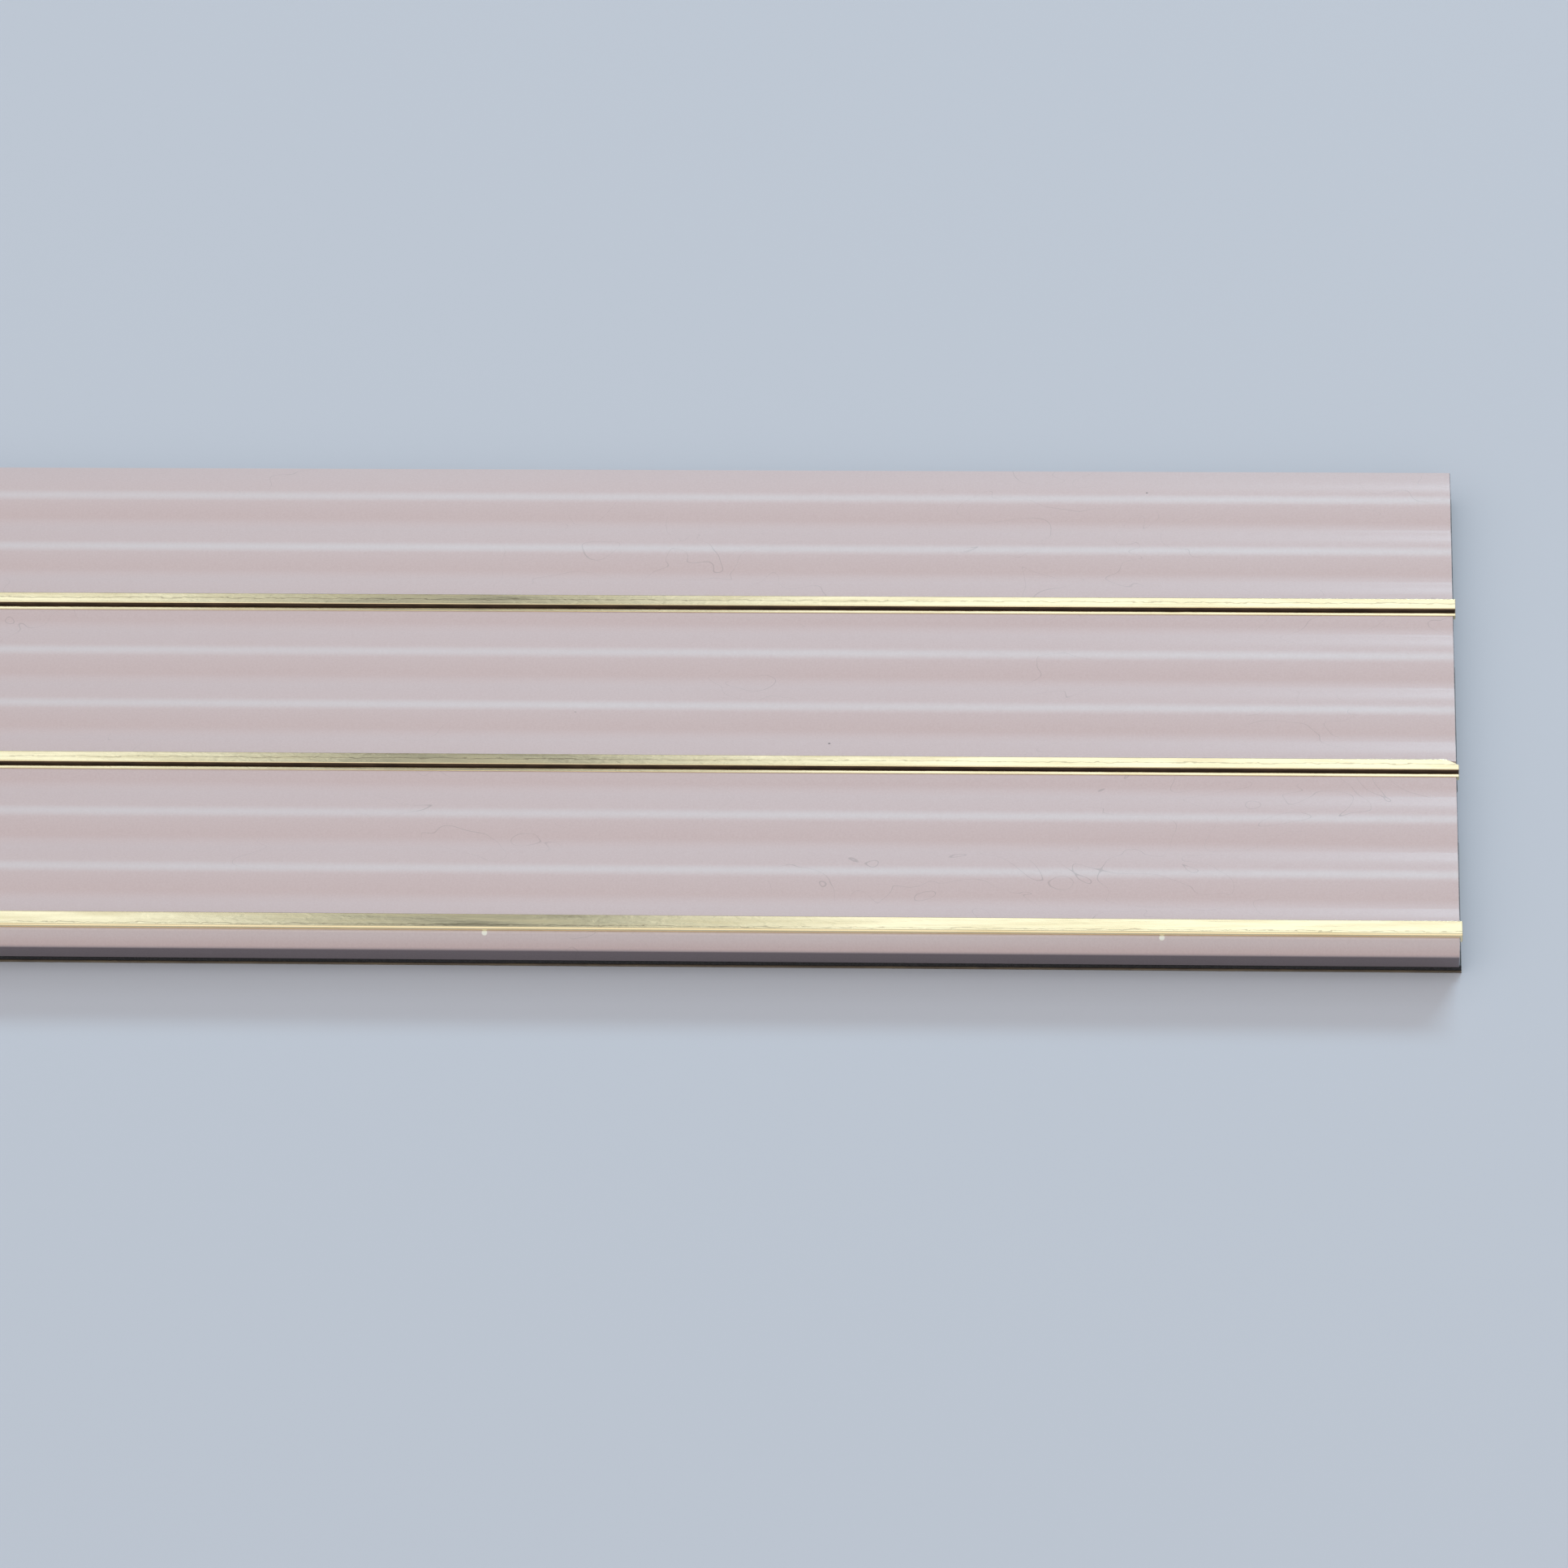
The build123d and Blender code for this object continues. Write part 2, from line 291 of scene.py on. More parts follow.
def anodised_aluminium(colours, sizes):
    """Aluminium, extruded, matt etched and anodised with a champagne dye.

    The etch leaves a fine satin grain and the die faint straight lines. The reeds' crowns and the
    lip's edge are paler, greyer and a little glossier than the dyed flanks: partly wear from feet
    and cloths, partly a painted highlight. A few specks of grit and a few hairline scratches lie on it.
    """
    material, tree, (cloud_at, line_at, grain_at, speck_at, hair_at, patch_at, true_at) = new_material(
        "Aluminium_etched_and_anodised",
        (
            ("dye clouds", (30, 9, 9)),
            # Die lines are 0.15 mm apart and run the whole length.
            ("die lines", (60, 0.15, 0.15)),
            # An etch pit is under 0.05 mm wide. It is drawn at 0.12 mm, so that its grain shows.
            ("etch grain", (0.12, 0.12, 0.12)),
            ("grit", (4.2, 3.6, 3.6)),
            ("hairlines", (5.0, 3.2, 3.2)),
            ("patches", (9, 7, 7)),
            ("millimetres", (1, 1, 1)),
        ),
    )
    clouds = add_node(tree, "ShaderNodeTexNoise", {"Vector": cloud_at, "Scale": 1, "Detail": 3})
    lines = add_node(tree, "ShaderNodeTexNoise", {"Vector": line_at, "Scale": 1, "Detail": 1})
    grain = add_node(tree, "ShaderNodeTexNoise", {"Vector": grain_at, "Scale": 1, "Detail": 2})

    # 1 on a reed's crown, falling to 0 beside it.
    parts = add_node(tree, "ShaderNodeSeparateXYZ", {"Vector": true_at})
    across = parts.outputs["Y"]
    pitch = sizes.reed_pitch / MM
    first = (CAD_BOX[0].y + sizes.first_reed) / MM
    shifted = add_node(tree, "ShaderNodeMath", {0: across, 1: pitch / 2 - first}, operation="ADD")
    wrapped = add_node(tree, "ShaderNodeMath", {0: shifted, 1: pitch, 2: 0.0}, operation="WRAP")
    beside = add_node(tree, "ShaderNodeMath", {0: wrapped, 1: pitch / 2}, operation="SUBTRACT")
    offset = add_node(tree, "ShaderNodeMath", {0: beside}, operation="ABSOLUTE")
    crown = add_node(
        tree,
        "ShaderNodeMapRange",
        {"Value": offset, "From Max": 0.62, **FALLING},
        interpolation_type="SMOOTHSTEP",
    )
    # The lip's edge gets the same paler band: rubbed wear and a painted highlight.
    lip_edge = (CAD_BOX[0].y + LIP_EDGE_PLACE) / MM
    beside = add_node(tree, "ShaderNodeMath", {0: across, 1: lip_edge}, operation="SUBTRACT")
    offset = add_node(tree, "ShaderNodeMath", {0: beside}, operation="ABSOLUTE")
    edge = add_node(
        tree,
        "ShaderNodeMapRange",
        {"Value": offset, "From Min": 0.1, "From Max": 0.6, **FALLING},
        interpolation_type="SMOOTHSTEP",
    )
    crown = add_node(tree, "ShaderNodeMath", {0: crown, 1: edge}, operation="MAXIMUM")
    stripe_strength = add_node(tree, "ShaderNodeMapRange", {"Value": clouds, **NOISE_RANGE, "To Min": 0.75})
    crown_wear_and_highlight = add_node(tree, "ShaderNodeMath", {0: crown, 1: stripe_strength}, operation="MULTIPLY")
    dye = add_node(
        tree, "ShaderNodeMapRange", {"Value": clouds, "From Min": 0.35, "From Max": 0.65, "To Max": 0.12}
    )
    share = add_node(tree, "ShaderNodeMath", {0: crown_wear_and_highlight, 1: dye}, operation="MAXIMUM")
    # Paler band on the crowns and the lip's edge: rubbed wear and a painted highlight.
    face = add_node(
        tree,
        "ShaderNodeMix",
        {0: share, 6: opaque(colours.anodised), 7: opaque(colours.crown_wear_and_highlight)},
        data_type="RGBA",
    )

    # Painted shade: below the nose's height, under the nose and on the back edge, the metal is darker.
    under = add_node(
        tree,
        "ShaderNodeMapRange",
        {"Value": parts.outputs["Z"], "From Min": 1.55, "From Max": 1.80, **FALLING},
        interpolation_type="SMOOTHSTEP",
    )
    face = add_node(
        tree,
        "ShaderNodeMix",
        {0: under, 6: face.outputs[2], 7: opaque(colours.underside_shade)},
        data_type="RGBA",
    )

    # Some of the cells hold a speck of grit, about 0.1 mm wide.
    cells = add_node(tree, "ShaderNodeTexVoronoi", {"Vector": speck_at, "Scale": 1})
    chosen = add_node(
        tree,
        "ShaderNodeMapRange",
        {"Value": cells.outputs["Color"], "From Min": 0.62, "From Max": 0.66, "To Max": 0.8},
    )
    near = add_node(
        tree, "ShaderNodeMapRange", {"Value": cells, "From Min": 0.010, "From Max": 0.022, **FALLING}
    )
    speck = add_node(tree, "ShaderNodeMath", {0: near, 1: chosen}, operation="MULTIPLY")
    # A hairline scratch follows a level line of soft noise, and shows only in some patches.
    waves = add_node(
        tree, "ShaderNodeTexNoise", {"Vector": hair_at, "Scale": 1, "Detail": 1, "Distortion": 0.8}
    )
    level = add_node(tree, "ShaderNodeMath", {0: waves, 1: 0.5}, operation="SUBTRACT")
    level = add_node(tree, "ShaderNodeMath", {0: level}, operation="ABSOLUTE")
    thin = add_node(
        tree, "ShaderNodeMapRange", {"Value": level, "From Min": 0.0005, "From Max": 0.0022, **FALLING}
    )
    patches = add_node(tree, "ShaderNodeTexNoise", {"Vector": patch_at, "Scale": 1, "Detail": 0})
    shown = add_node(tree, "ShaderNodeMapRange", {"Value": patches, "From Min": 0.60, "From Max": 0.68})
    scratch = add_node(tree, "ShaderNodeMath", {0: thin, 1: shown}, operation="MULTIPLY")
    faint = add_node(tree, "ShaderNodeMath", {0: scratch, 1: 0.18}, operation="MULTIPLY")
    dark_marks = add_node(tree, "ShaderNodeMath", {0: speck, 1: faint}, operation="MAXIMUM")
    face = add_node(
        tree, "ShaderNodeMix", {0: dark_marks, 6: face.outputs[2], 7: opaque(colours.dust)}, data_type="RGBA"
    )

    # Two small near-white spots on the lip's edge, near the right-hand end: painted glints of two small
    # burrs.
    for from_end in GLINTS_FROM_END:
        place = (CAD_BOX[1].x / MM - from_end, lip_edge, GLINT_LEVEL)
        away = add_node(
            tree, "ShaderNodeVectorMath", {0: true_at, 1: place}, operation="DISTANCE"
        ).outputs["Value"]
        glint = add_node(
            tree, "ShaderNodeMapRange", {"Value": away, "From Min": 0.13, "From Max": 0.19, **FALLING}
        )
        face = add_node(
            tree,
            "ShaderNodeMix",
            {0: glint, 6: face.outputs[2], 7: opaque(colours.burr_glint)},
            data_type="RGBA",
        )

    satin = add_node(
        tree, "ShaderNodeMapRange", {"Value": grain, **NOISE_RANGE, "To Min": 0.76, "To Max": 0.84}
    )
    polish = add_node(tree, "ShaderNodeMath", {0: crown_wear_and_highlight, 1: 0.06}, operation="MULTIPLY")
    roughness = add_node(tree, "ShaderNodeMath", {0: satin, 1: polish}, operation="SUBTRACT")
    # The bumps are in metres: die lines 0.4 microns high, etch grain 1.5 microns, scratches 1 micron.
    normal = add_node(tree, "ShaderNodeBump", {"Height": lines, "Distance": 0.0004 * MM})
    normal = add_node(
        tree, "ShaderNodeBump", {"Height": grain, "Distance": 0.0015 * MM, "Normal": normal}
    )
    normal = add_node(
        tree, "ShaderNodeBump", {"Height": scratch, "Distance": -0.001 * MM, "Normal": normal}
    )
    finish_material(
        tree,
        {
            "Base Color": face.outputs[2],
            "Metallic": 0.8,
            "Roughness": roughness,
            "Normal": normal,
            "Coat Weight": 0.25,
            "Coat Roughness": 0.18,
        },
    )
    return material


def sawn_metal(name, light, dark):
    """Metal, cut across with a fine saw: bare and bright, with upright saw lines 0.06 mm apart."""
    material, tree, (tooth_at,) = new_material(name, (("saw lines", (1000, 0.06, 4)),))
    teeth = add_node(
        tree, "ShaderNodeTexNoise", {"Vector": tooth_at, "Scale": 1, "Detail": 2, "Distortion": 0.4}
    )
    share = add_node(tree, "ShaderNodeMapRange", {"Value": teeth, **NOISE_RANGE})
    face = add_node(
        tree, "ShaderNodeMix", {0: share, 6: opaque(dark), 7: opaque(light)}, data_type="RGBA"
    )
    roughness = add_node(
        tree, "ShaderNodeMapRange", {"Value": teeth, **NOISE_RANGE, "To Min": 0.28, "To Max": 0.45}
    )
    normal = add_node(tree, "ShaderNodeBump", {"Height": teeth, "Distance": 0.006 * MM})
    finish_material(
        tree,
        {"Base Color": face.outputs[2], "Metallic": 1.0, "Roughness": roughness, "Normal": normal},
    )
    return material


def polished_brass(colours, sizes):
    """Brass, drawn through a die and polished: near-mirror, with drawing lines and soft ripples.

    A thin dark line wanders along the middle of each head: painted shade along a crease in the head.
    """
    material, tree, (tarnish_at, line_at, ripple_at, true_at) = new_material(
        "Brass_drawn_and_polished",
        (
            ("tarnish", (6, 0.5, 0.5)),
            # Drawing lines are 0.2 mm apart and break off after about 6 mm.
            ("drawing lines", (6, 0.2, 0.2)),
            # The polishing wheel leaves ripples about 0.9 mm long.
            ("wheel ripples", (0.9, 0.3, 0.3)),
            ("millimetres", (1, 1, 1)),
        ),
    )
    tarnish = add_node(tree, "ShaderNodeTexNoise", {"Vector": tarnish_at, "Scale": 1, "Detail": 3})
    lines = add_node(
        tree, "ShaderNodeTexNoise", {"Vector": line_at, "Scale": 1, "Detail": 1, "Distortion": 0.3}
    )
    ripples = add_node(
        tree, "ShaderNodeTexNoise", {"Vector": ripple_at, "Scale": 1, "Detail": 2, "Distortion": 0.6}
    )
    share = add_node(
        tree,
        "ShaderNodeMapRange",
        {"Value": tarnish, "From Min": 0.45, "From Max": 0.75, "To Max": 0.35},
    )
    face = add_node(
        tree,
        "ShaderNodeMix",
        {0: share, 6: opaque(colours.brass), 7: opaque(colours.brass_tarnish)},
        data_type="RGBA",
    )
    # The painted shade line is 0.06 mm wide and wanders 0.07 mm to either side.
    pitch = (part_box("rear_trim_strip")[1].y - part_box("middle_trim_strip")[1].y) / MM
    middle = (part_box("middle_trim_strip")[1].y - sizes.head_width / 2) / MM
    parts = add_node(tree, "ShaderNodeSeparateXYZ", {"Vector": true_at})
    across = parts.outputs["Y"]
    shifted = add_node(tree, "ShaderNodeMath", {0: across, 1: pitch / 2 - middle}, operation="ADD")
    wrapped = add_node(tree, "ShaderNodeMath", {0: shifted, 1: pitch, 2: 0.0}, operation="WRAP")
    wander = add_node(
        tree, "ShaderNodeMapRange", {"Value": ripples, **NOISE_RANGE, "To Min": -0.07, "To Max": 0.07}
    )
    target = add_node(tree, "ShaderNodeMath", {0: wander, 1: pitch / 2}, operation="ADD")
    beside = add_node(tree, "ShaderNodeMath", {0: wrapped, 1: target}, operation="SUBTRACT")
    offset = add_node(tree, "ShaderNodeMath", {0: beside}, operation="ABSOLUTE")
    crease_shade_line = add_node(
        tree,
        "ShaderNodeMapRange",
        {"Value": offset, "From Min": 0.02, "From Max": 0.04, "To Min": 0.4, "To Max": 0.0},
    )
    face = add_node(
        tree,
        "ShaderNodeMix",
        {0: crease_shade_line, 6: face.outputs[2], 7: opaque(colours.brass_slot)},
        data_type="RGBA",
    )
    roughness = add_node(
        tree, "ShaderNodeMapRange", {"Value": tarnish, **NOISE_RANGE, "To Min": 0.09, "To Max": 0.15}
    )
    normal = add_node(tree, "ShaderNodeBump", {"Height": lines, "Distance": 0.003 * MM})
    normal = add_node(
        tree, "ShaderNodeBump", {"Height": ripples, "Distance": 0.003 * MM, "Normal": normal}
    )
    finish_material(
        tree,
        {"Base Color": face.outputs[2], "Metallic": 1.0, "Roughness": roughness, "Normal": normal},
    )
    return material


def brass_slot(colours):
    """Brass, as drawn: the wheel never reaches the slot, so it stays rough; its dark, mottled colour is
    painted shade in the gap.
    """
    material, tree, (mottle_at,) = new_material("Brass_slot_shade", (("dark_marks", (1.2, 0.2, 0.2)),))
    dark_marks = add_node(tree, "ShaderNodeTexNoise", {"Vector": mottle_at, "Scale": 1, "Detail": 3})
    share = add_node(
        tree, "ShaderNodeMapRange", {"Value": dark_marks, "From Min": 0.35, "From Max": 0.7, "To Max": 0.5}
    )
    face = add_node(
        tree,
        "ShaderNodeMix",
        {0: share, 6: opaque(colours.brass_slot), 7: opaque(colours.slot_shade)},
        data_type="RGBA",
    )
    finish_material(tree, {"Base Color": face.outputs[2], "Metallic": 0.6, "Roughness": 0.6})
    return material


def closed_cell_foam(colours):
    """Polyethylene foam, blown and slit: matt and dark, with small closed cells on its cut sides."""
    material, tree, (cell_at,) = new_material("Polyethylene_foam_slit", (("cells", (0.1, 0.1, 0.1)),))
    cells = add_node(tree, "ShaderNodeTexVoronoi", {"Vector": cell_at, "Scale": 1})
    walls = add_node(tree, "ShaderNodeMapRange", {"Value": cells, "From Min": 0.1, "From Max": 0.7})
    face = add_node(
        tree,
        "ShaderNodeMix",
        {0: walls, 6: opaque(colours.foam_cell), 7: opaque(colours.foam)},
        data_type="RGBA",
    )
    normal = add_node(tree, "ShaderNodeBump", {"Height": cells, "Distance": 0.03 * MM})
    finish_material(tree, {"Base Color": face.outputs[2], "Roughness": 0.85, "Normal": normal})
    return material


def acrylic_adhesive(colours):
    """Acrylic adhesive, coated on the foam: black, with a tacky shine and a slight orange peel."""
    material, tree, (peel_at,) = new_material("Acrylic_adhesive_coated", (("peel", (0.9, 0.7, 0.7)),))
    peel = add_node(tree, "ShaderNodeTexNoise", {"Vector": peel_at, "Scale": 1, "Detail": 2})
    roughness = add_node(
        tree, "ShaderNodeMapRange", {"Value": peel, **NOISE_RANGE, "To Min": 0.22, "To Max": 0.40}
    )
    normal = add_node(tree, "ShaderNodeBump", {"Height": peel, "Distance": 0.01 * MM})
    finish_material(
        tree, {"Base Color": opaque(colours.adhesive), "Roughness": roughness, "Normal": normal}
    )
    return material


def glassine_paper(colours):
    """Glassine paper, calendered and coated with silicone: dark brown, smooth, with cloudy fibres."""
    material, tree, (fibre_at, cloud_at) = new_material(
        "Glassine_paper_calendered", (("fibres", (1.6, 0.5, 0.5)), ("clouds", (5, 4, 4)))
    )
    fibres = add_node(
        tree, "ShaderNodeTexNoise", {"Vector": fibre_at, "Scale": 1, "Detail": 5, "Distortion": 1.2}
    )
    clouds = add_node(tree, "ShaderNodeTexNoise", {"Vector": cloud_at, "Scale": 1, "Detail": 3})
    blotch = add_node(tree, "ShaderNodeMath", {0: fibres, 1: clouds}, operation="MULTIPLY")
    share = add_node(tree, "ShaderNodeMapRange", {"Value": blotch, "From Min": 0.16, "From Max": 0.36})
    face = add_node(
        tree,
        "ShaderNodeMix",
        {0: share, 6: opaque(colours.liner), 7: opaque(colours.liner_light)},
        data_type="RGBA",
    )
    roughness = add_node(
        tree, "ShaderNodeMapRange", {"Value": fibres, **NOISE_RANGE, "To Min": 0.30, "To Max": 0.42}
    )
    normal = add_node(tree, "ShaderNodeBump", {"Height": fibres, "Distance": 0.004 * MM})
    finish_material(
        tree,
        {
            "Base Color": face.outputs[2],
            "Roughness": roughness,
            "Normal": normal,
            "Coat Weight": 0.2,
            "Coat Roughness": 0.25,
        },
    )
    return material


def matt_floor(colours):
    """Board, painted with a roller in a pale matt grey: even, with a faint roller peel."""
    material, tree, (peel_at,) = new_material("Painted_board_rolled", (("roller peel", (1.5, 1.5, 1.5)),))
    peel = add_node(tree, "ShaderNodeTexNoise", {"Vector": peel_at, "Scale": 1, "Detail": 2})
    normal = add_node(tree, "ShaderNodeBump", {"Height": peel, "Distance": 0.01 * MM})
    finish_material(
        tree,
        {
            "Base Color": opaque(colours.floor),
            "Roughness": 0.75,
            "Specular IOR Level": 0.2,
            "Normal": normal,
        },
    )
    return material


# ---------------------------------------------------------------- sections


def arc(centre, radius, start, end, steps):
    """Points (y, z) on a circle from one angle to another, in degrees, both ends included."""
    angles = [math.radians(start + (end - start) * i / steps) for i in range(steps + 1)]
    return [(centre[0] + radius * math.cos(a), centre[1] + radius * math.sin(a)) for a in angles]


def reed_slope(sizes):
    """Steepest slope of a reed in radians, half its width and its radius."""
    slope = 2 * math.atan(2 * sizes.reed_height / sizes.reed_pitch)
    half_reed = (sizes.reed_pitch - sizes.valley_width) / 2
    return slope, half_reed, half_reed / math.sin(slope)


def rounded(points, radius, steps=6):
    """Three points (y, z) with the middle one rounded: the points of its arc."""
    before, corner, after = (Vector(p) for p in points)
    way_in, way_out = (before - corner).normalized(), (after - corner).normalized()
    half_angle = way_in.angle(way_out) / 2
    middle = corner + (way_in + way_out).normalized() * radius / math.sin(half_angle)
    start = corner + way_in * radius / math.tan(half_angle) - middle
    end = corner + way_out * radius / math.tan(half_angle) - middle
    first = math.degrees(math.atan2(start.y, start.x))
    turn = math.degrees(math.atan2(start.cross(end), start.dot(end)))
    return arc(middle, radius, first, first + turn, steps)


def lip_line(sizes, bottom, top):
    """Points of the lip from its foot to the start of the first reed."""
    front = CAD_BOX[0].y
    _, _, reed_radius = reed_slope(sizes)
    lean, under = sizes.lip_lean, sizes.undercut_lean
    nose = (front + sizes.nose_radius, sizes.nose_height)
    around = arc(nose, sizes.nose_radius, 180 + math.degrees(under), 180 - math.degrees(lean), 14)
    low, high = around[0], around[-1]
    foot = (low[0] + (low[1] - bottom) * math.tan(under), bottom)
    # The leaning face runs up until it meets the first reed's arc.
    from_centre = Vector((high[0] - front - sizes.first_reed, high[1] - top + reed_radius))
    up = Vector((math.sin(lean), math.cos(lean)))
    towards = from_centre.dot(up)
    run = math.sqrt(towards**2 - from_centre.length_squared + reed_radius**2) - towards
    peak = Vector(high) + up * run
    reed_way = Vector((front + sizes.first_reed, top))
    return [foot, *around, *rounded((high, peak, reed_way), sizes.lip_top_radius)]


def top_line(sizes, bottom, top):
    """Points of the lip, the reeds and the back edge, from the lip's foot to the back's foot."""
    front, back = CAD_BOX[0].y, CAD_BOX[1].y
    slope, half_reed, reed_radius = reed_slope(sizes)
    valley_radius = (sizes.valley_width / 2) / math.sin(slope)
    turn = math.degrees(slope)
    points = []
    for index in range(sizes.reed_count):
        crown = front + sizes.first_reed + index * sizes.reed_pitch
        points += arc((crown, top - reed_radius), reed_radius, 90 + turn, 90 - turn, 28)
        if index < sizes.reed_count - 1:
            valley = (crown + sizes.reed_pitch / 2, top - sizes.reed_height + valley_radius)
            points += arc(valley, valley_radius, 270 - turn, 270 + turn, 12)[1:-1]
    lip = lip_line(sizes, bottom, top)
    side = points[-1]
    corner = (back, side[1] - (back - side[0]) * math.tan(slope))
    foot = sizes.back_bottom_radius
    back_edge = [
        *rounded((side, corner, (back, bottom)), sizes.back_top_radius),
        *arc((back - foot, bottom + foot), foot, 0, -90, 6),
    ]
    past_lip = lip[-1][0] + 0.01 * MM
    return [*lip, *[p for p in points if p[0] > past_lip], *back_edge]


def trim_span(place):
    """Lowest and highest corner of a trim's CAD box as (front y, stem bottom z, rear y, head top z)."""
    low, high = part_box(f"{place}_trim_strip")
    return low.y, low.z, high.y, high.z


def stem_middle(place, sizes):
    """Middle of a trim's stem: under the head's front part on a beaded trim, else central."""
    front, _, rear, _ = trim_span(place)
    if place in BEADED_TRIMS:
        return rear - sizes.head_width + sizes.stem_width / 2
    return (front + rear) / 2


def trim_cut(place, sizes, top):
    """Rebate and slot for a trim, as points from its front wall to its rear wall."""
    front, bottom, rear, _ = trim_span(place)
    gap = sizes.slot_clearance
    floor = top - sizes.rebate_depth
    foot_top = bottom + sizes.foot_height + gap
    middle = stem_middle(place, sizes)
    half_stem = sizes.stem_width / 2 + gap
    half_foot = sizes.foot_width / 2 + gap
    walls = [
        (middle - half_stem, floor),
        (middle - half_stem, foot_top),
        (middle - half_foot, foot_top),
        (middle - half_foot, bottom),
    ]
    mirrored = [(2 * middle - y, z) for y, z in reversed(walls)]
    return [(front - sizes.front_seam, floor), *walls, *mirrored, (rear + sizes.rear_seam, floor)]


def level_at(points, y):
    """Height of a line of points at one y."""
    for (y0, z0), (y1, z1) in zip(points, points[1:]):
        if y0 <= y <= y1:
            return z0 + (z1 - z0) * (y - y0) / (y1 - y0)
    raise ValueError(f"y {y} lies outside the line")


def profile_section(sizes):
    """Ring of points round the carrier profile, with the three trim rebates cut into its top."""
    low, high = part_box("carrier_profile")
    line = top_line(sizes, low.z, high.z)
    for place in PLACES:
        cut = trim_cut(place, sizes, high.z)
        front, rear = cut[0][0], cut[-1][0]
        line = [
            *[p for p in line if p[0] < front],
            (front, level_at(line, front)),
            *cut,
            (rear, level_at(line, rear)),
            *[p for p in line if p[0] > rear],
        ]
    return line


def trim_section(place, sizes):
    """Ring of points round one trim."""
    front, bottom, rear, head = trim_span(place)
    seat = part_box("carrier_profile")[1].z - sizes.rebate_depth
    foot_top = bottom + sizes.foot_height
    middle = stem_middle(place, sizes)
    half_stem, half_foot = sizes.stem_width / 2, sizes.foot_width / 2
    walls = [
        (middle + half_stem, seat),
        (middle + half_stem, foot_top),
        (middle + half_foot, foot_top),
        (middle + half_foot, bottom),
    ]
    below = [(rear, seat), *walls, *[(2 * middle - y, z) for y, z in reversed(walls)], (front, seat)]
    radius = sizes.head_rounding
    head_front = rear - sizes.head_width if place in BEADED_TRIMS else front
    bead = []
    if place in BEADED_TRIMS:
        crown = head - sizes.bead_drop
        gap_floor = head - sizes.gap_depth
        bead_rear = front + sizes.bead_width
        small = radius / 2
        bead = [
            *arc((front + small, crown - small), small, 180, 90, 4),
            (front + small + FLAT_MARGIN, crown),
            (bead_rear - small - FLAT_MARGIN, crown),
            *arc((bead_rear - small, crown - small), small, 90, 0, 4),
            (bead_rear, gap_floor),
            (head_front, gap_floor),
        ]
    front_radius = radius if place in BEADED_TRIMS else sizes.front_rounding
    above = [
        *bead,
        *arc((head_front + front_radius, head - front_radius), front_radius, 180, 90, 6),
        (head_front + front_radius + FLAT_MARGIN, head),
        (rear - radius - FLAT_MARGIN, head),
        *arc((rear - radius, head - radius), radius, 90, 0, 4),
    ]
    return [*below, *above]


def band_section(node, bulge, corner):
    """Ring of points round a flat band, with sides that bulge by a small amount inside its box."""
    low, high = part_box(node)
    thickness = high.z - low.z
    steps = 6
    side = []
    for step in range(steps + 1):
        share = step / steps
        inset = bulge * (2 * share - 1) ** 2
        height = low.z + corner + (thickness - 2 * corner) * share
        side.append((high.y - inset, height))
    right = [(high.y - bulge - corner, low.z), *side, (high.y - bulge - corner, high.z)]
    left = [(low.y + high.y - y, z) for y, z in reversed(right)]
    return [*right, *left]


# ---------------------------------------------------------------- meshes


def ring_area(ring):
    """Signed area of a ring of points."""
    pairs = zip(ring, ring[1:] + ring[:1])
    return sum(y0 * z1 - y1 * z0 for (y0, z0), (y1, z1) in pairs) / 2


def inset_ring(ring, distance):
    """Ring moved inwards along the mean normal of each corner's two edges."""
    moved = []
    for before, here, after in zip(ring[-1:] + ring[:-1], ring, ring[1:] + ring[:1]):
        edge_in = (Vector(here) - Vector(before)).normalized()
        edge_out = (Vector(after) - Vector(here)).normalized()
        normal = Vector((-edge_in.y - edge_out.y, edge_in.x + edge_out.x))
        if normal.length < 1e-6:
            normal = Vector((-edge_in.y, edge_in.x))
        normal.normalize()
        moved.append((here[0] + normal.x * distance, here[1] + normal.y * distance))
    return moved


def stations(half_length, chamfer, spacing, end_steps=6):
    """Places along the strip: close together at both ends, then evenly spaced."""
    near_end = [half_length - chamfer - END_STRETCH * i / end_steps for i in range(end_steps + 1)]
    inner = near_end[-1]
    count = max(2, round(2 * inner / spacing))
    between = [-inner + 2 * inner * i / count for i in range(1, count)]
    return [-x for x in near_end] + between + list(reversed(near_end))


def saw_wander(y, z, seed, reach):
    """How far the saw's cut stands back at one point of an end, between 0 and reach.

    It is rough over about half a millimetre and drifts over 9 mm.
    """
    rough = noise.noise(Vector((y / (0.7 * MM), z / (0.5 * MM), seed)))
    slow = noise.noise(Vector((y / (9 * MM), 0.0, seed + 5)))
    return reach * min(1.0, max(0.0, 0.5 + 0.5 * rough + 0.4 * slow))


def new_object(name, data):
    """Object with this data, linked into the scene."""
    made = bpy.data.objects.new(name, data)
    bpy.context.scene.collection.objects.link(made)
    return made


